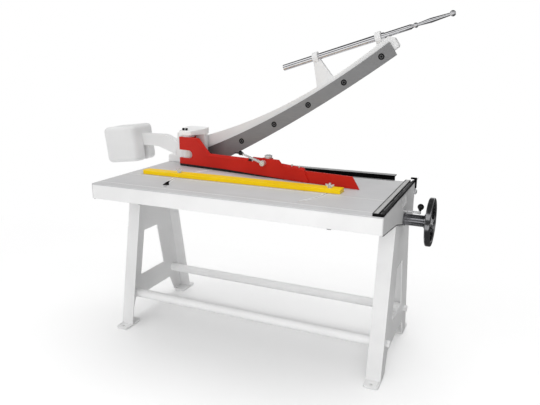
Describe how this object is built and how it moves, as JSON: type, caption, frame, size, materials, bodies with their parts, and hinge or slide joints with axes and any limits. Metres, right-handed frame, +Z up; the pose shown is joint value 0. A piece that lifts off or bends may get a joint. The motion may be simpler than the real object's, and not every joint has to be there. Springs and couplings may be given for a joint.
{
  "type": "guillotine shear",
  "caption": "Floor-standing sheet-metal shear: a counterweighted curved blade on a long lever over a table with a hold-down beam, a swinging fence and a back gauge.",
  "frame": {"origin": "on the floor, midway between the four anchor holes of the feet", "axes": "+X along the table to the right, away from the lever's pivot; +Y from the front of the table to the blade at the back; +Z up"},
  "size_m": [1.8235, 0.7643, 1.4697],
  "materials": {
    "white_paint": "smooth gloss white paint",
    "panel_grey": "smooth pale grey paint",
    "table_steel": "ground and grey-coated steel, light sheen",
    "cast_white": "white paint over a casting",
    "red_paint": "gloss red paint",
    "yellow_paint": "gloss yellow paint",
    "blade_steel": "ground tool steel",
    "black_steel": "blackened steel",
    "chrome": "polished chrome",
    "zinc": "bright zinc plating",
    "bare_steel": "turned and milled bare steel",
    "bronze": "bearing bronze",
    "black_paint": "black paint",
    "scale_metal": "satin aluminium strip",
    "wheel_black": "black wheel with polished spokes",
    "knob_black": "black moulded ball",
    "pad_rubber": "black rubber"
  },
  "bodies": {
    "frame": {"table_top": "table_steel", "front_apron": "white_paint", "left_side_plate": "panel_grey", "right_side_plate": "panel_grey", "rear_beam": "white_paint", "table_ribs": "white_paint", "lower_blade": "blade_steel", "lower_blade_screws": "black_steel", "left_front_leg": "white_paint", "left_rear_leg": "white_paint", "left_upper_tie": "white_paint", "left_lower_tie": "white_paint", "right_front_leg": "white_paint", "right_rear_leg": "white_paint", "right_upper_tie": "white_paint", "right_lower_tie": "white_paint", "foot_plates": "white_paint", "tie_tubes": "white_paint", "tie_bolts": "zinc", "pivot_pedestal": "white_paint", "pedestal_bolts": "zinc", "pivot_cap": "white_paint", "cap_bolts": "black_steel", "guide_post": "chrome", "pivot_shaft": "bare_steel", "pivot_nut": "zinc", "side_rail": "black_paint", "side_scale": "scale_metal", "rail_clamp_stud": "zinc", "rack_guides": "white_paint", "wheel_bearing": "black_paint", "shaft_clamp": "white_paint"},
    "lever": {"lever_arm": "cast_white", "pivot_bush": "bronze", "upper_blade": "blade_steel", "blade_bolts": "black_steel", "handle_tube": "chrome", "eye_screws": "black_steel", "counterweight": "cast_white", "counterweight_screws": "black_steel"},
    "handle": {"handle_rod": "chrome"},
    "hold_down": {"hold_down_beam": "red_paint", "hold_down_tip": "red_paint", "tip_screws": "zinc", "hold_down_pad": "pad_rubber"},
    "beam_clamp": {"clamp_lever": "zinc", "clamp_knob": "knob_black"},
    "beam_knob": {"clamp_screw": "zinc"},
    "fence": {"fence_bar": "yellow_paint", "fence_bolts": "zinc"},
    "left_nut": {"left_wing_nut": "zinc"},
    "right_nut": {"right_wing_nut": "zinc"},
    "rail_clamp": {"rail_clamp_lever": "black_paint"},
    "wheel": {"handwheel": "wheel_black", "drive_shaft": "bare_steel", "drive_pinions": "bare_steel"},
    "gauge": {"gauge_bar": "black_paint", "gauge_racks": "bare_steel"},
    "shaft_lock": {"lock_spindle": "zinc", "lock_knob": "knob_black"}
  },
  "joints": [
    {"name": "lever_swing", "type": "hinge", "parent": "frame", "child": "lever", "pos_m": [-0.515, 0.2643, 0.836], "axis": [0, 1, 0], "range_deg": [0, 28.8]},
    {"name": "handle_slide", "type": "slide", "parent": "lever", "child": "handle", "axis": [0.9573, 0, 0.289], "range_m": [-0.1, 0.25]},
    {"name": "hold_down_swing", "type": "hinge", "parent": "frame", "child": "hold_down", "pos_m": [-0.49109, 0.15613, 0.738], "axis": [0, 0, 1], "range_deg": [0, 13]},
    {"name": "beam_clamp_turn", "type": "hinge", "parent": "hold_down", "child": "beam_clamp", "pos_m": [-0.01418, 0.04769, 0.805], "axis": [0.1564, 0.9877, 0], "range_deg": [0, 110]},
    {"name": "beam_knob_turn", "type": "hinge", "parent": "hold_down", "child": "beam_knob", "pos_m": [0.0028, 0.05259, 0.827], "axis": [0, 0, 1], "range_deg": [-180, 180]},
    {"name": "fence_swing", "type": "hinge", "parent": "frame", "child": "fence", "pos_m": [-0.012, -0.1105, 0.738], "axis": [0, 0, 1], "range_deg": [-20, 5]},
    {"name": "left_nut_turn", "type": "hinge", "parent": "fence", "child": "left_nut", "pos_m": [-0.378, -0.1105, 0.756], "axis": [0, 0, 1], "range_deg": [-180, 180]},
    {"name": "right_nut_turn", "type": "hinge", "parent": "fence", "child": "right_nut", "pos_m": [0.354, -0.1105, 0.756], "axis": [0, 0, 1], "range_deg": [-180, 180]},
    {"name": "rail_clamp_turn", "type": "hinge", "parent": "frame", "child": "rail_clamp", "pos_m": [0.645, 0.236, 0.738], "axis": [0, 0, 1], "range_deg": [0, 90]},
    {"name": "wheel_turn", "type": "hinge", "parent": "frame", "child": "wheel", "pos_m": [0.7, 0, 0.627], "axis": [-1, 0, 0], "range_deg": [0, 802]},
    {"name": "gauge_slide", "type": "slide", "parent": "frame", "child": "gauge", "axis": [0, 1, 0], "range_m": [0, 0.28]},
    {"name": "shaft_lock_turn", "type": "hinge", "parent": "frame", "child": "shaft_lock", "pos_m": [0.695, -0.015, 0.665], "axis": [1, 0, 0], "range_deg": [-50, 50]}
  ],
  "couplings": [
    {"joint": "gauge_slide", "follows": "wheel_turn", "m_per_rad": 0.02}
  ]
}
